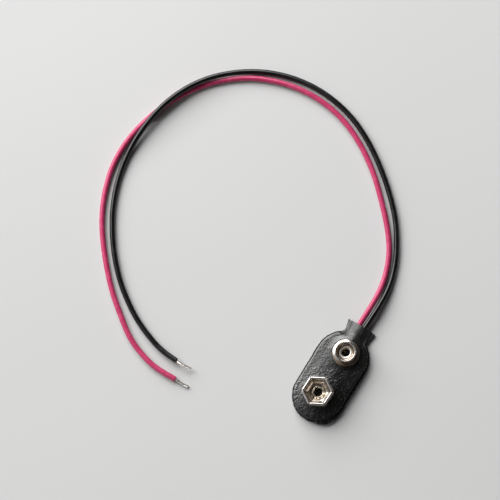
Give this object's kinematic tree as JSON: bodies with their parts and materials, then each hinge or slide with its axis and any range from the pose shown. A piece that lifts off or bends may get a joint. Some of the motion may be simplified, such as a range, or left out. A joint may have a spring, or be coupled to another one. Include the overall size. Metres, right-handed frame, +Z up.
{
  "type": "battery snap connector",
  "caption": "Battery snap connector: grained black vinyl cover with a round stud and a petalled socket, and a red and a black lead with stripped ends.",
  "frame": {"origin": "centre of the cover's underside, where it lies on the table", "axes": "+Y along the cover from the socket to the neck that the leads leave; +Z up out of the snap contacts; +X to the right, seen from above"},
  "size_m": [0.0888, 0.0883, 0.0066],
  "materials": {
    "vinyl_cover": "leather grain, satin",
    "fibre_board": "matte",
    "nickel_plate": "bright plated",
    "lug_brass": "tinned",
    "tinned_core": "tinned strands",
    "solder": "bright",
    "red_jacket": "satin",
    "black_jacket": "satin"
  },
  "bodies": {
    "root": {"front_cover": "vinyl_cover", "back_cover": "vinyl_cover", "carrier_board": "fibre_board", "stud_contact": "nickel_plate", "stud_rivet": "nickel_plate", "socket_contact": "nickel_plate", "socket_rivet": "nickel_plate", "stud_lug": "lug_brass", "socket_lug": "lug_brass", "red_core_inner": "tinned_core", "black_core_inner": "tinned_core", "red_solder": "solder", "black_solder": "solder", "red_lead": "red_jacket", "black_lead": "black_jacket", "red_core_tip": "tinned_core", "black_core_tip": "tinned_core"}
  },
  "joints": []
}
